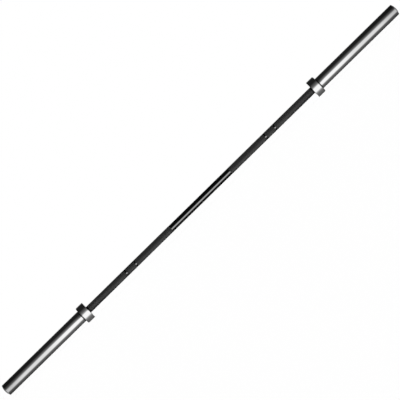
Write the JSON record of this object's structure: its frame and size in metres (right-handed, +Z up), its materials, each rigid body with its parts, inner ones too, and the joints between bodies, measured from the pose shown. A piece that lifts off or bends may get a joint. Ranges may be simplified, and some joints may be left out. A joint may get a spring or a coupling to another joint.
{
  "type": "barbell",
  "caption": "Straight olympic barbell: dark knurled shaft with ring marks and a smooth middle, and a plated, collared sleeve that spins freely on bearings at each end.",
  "frame": {"origin": "on the bar's axis, midway between its ends", "axes": "+X along the bar towards its right-hand end, +Z up when the bar lies on a floor"},
  "size_m": [2.134, 0.076, 0.076],
  "materials": {
    "black_steel": "satin",
    "chrome": "polished",
    "rubber": "matte",
    "bronze": "satin",
    "bearing_steel": "satin",
    "spring_steel": "satin"
  },
  "bodies": {
    "bar": {"shaft": "black_steel", "left_shoulder_washer": "bearing_steel", "left_end_washer": "bearing_steel", "left_shaft_retaining_ring": "spring_steel", "right_shoulder_washer": "bearing_steel", "right_end_washer": "bearing_steel", "right_shaft_retaining_ring": "spring_steel"},
    "left_sleeve": {"left_sleeve_tube": "chrome", "left_sleeve_collar": "chrome", "left_dust_seal": "rubber", "left_inner_bushing": "bronze", "left_needle_cup": "bearing_steel", "left_end_cap": "chrome", "left_cap_retaining_ring": "spring_steel"},
    "left_cage": {"left_needle_cage": "bearing_steel", "left_needle_rollers": "bearing_steel"},
    "right_sleeve": {"right_sleeve_tube": "chrome", "right_sleeve_collar": "chrome", "right_dust_seal": "rubber", "right_inner_bushing": "bronze", "right_needle_cup": "bearing_steel", "right_end_cap": "chrome", "right_cap_retaining_ring": "spring_steel"},
    "right_cage": {"right_needle_cage": "bearing_steel", "right_needle_rollers": "bearing_steel"}
  },
  "joints": [
    {"name": "left_sleeve_spin", "type": "hinge", "parent": "bar", "child": "left_sleeve", "pos_m": [-0.8395, 0, 0], "axis": [1, 0, 0], "continuous": true},
    {"name": "left_cage_spin", "type": "hinge", "parent": "bar", "child": "left_cage", "pos_m": [-1.0147, 0, 0], "axis": [1, 0, 0], "continuous": true},
    {"name": "right_sleeve_spin", "type": "hinge", "parent": "bar", "child": "right_sleeve", "pos_m": [0.8395, 0, 0], "axis": [1, 0, 0], "continuous": true},
    {"name": "right_cage_spin", "type": "hinge", "parent": "bar", "child": "right_cage", "pos_m": [1.0147, 0, 0], "axis": [1, 0, 0], "continuous": true}
  ],
  "couplings": [
    {"joint": "left_cage_spin", "follows": "left_sleeve_spin", "ratio": 0.54611},
    {"joint": "right_cage_spin", "follows": "right_sleeve_spin", "ratio": 0.54611}
  ]
}
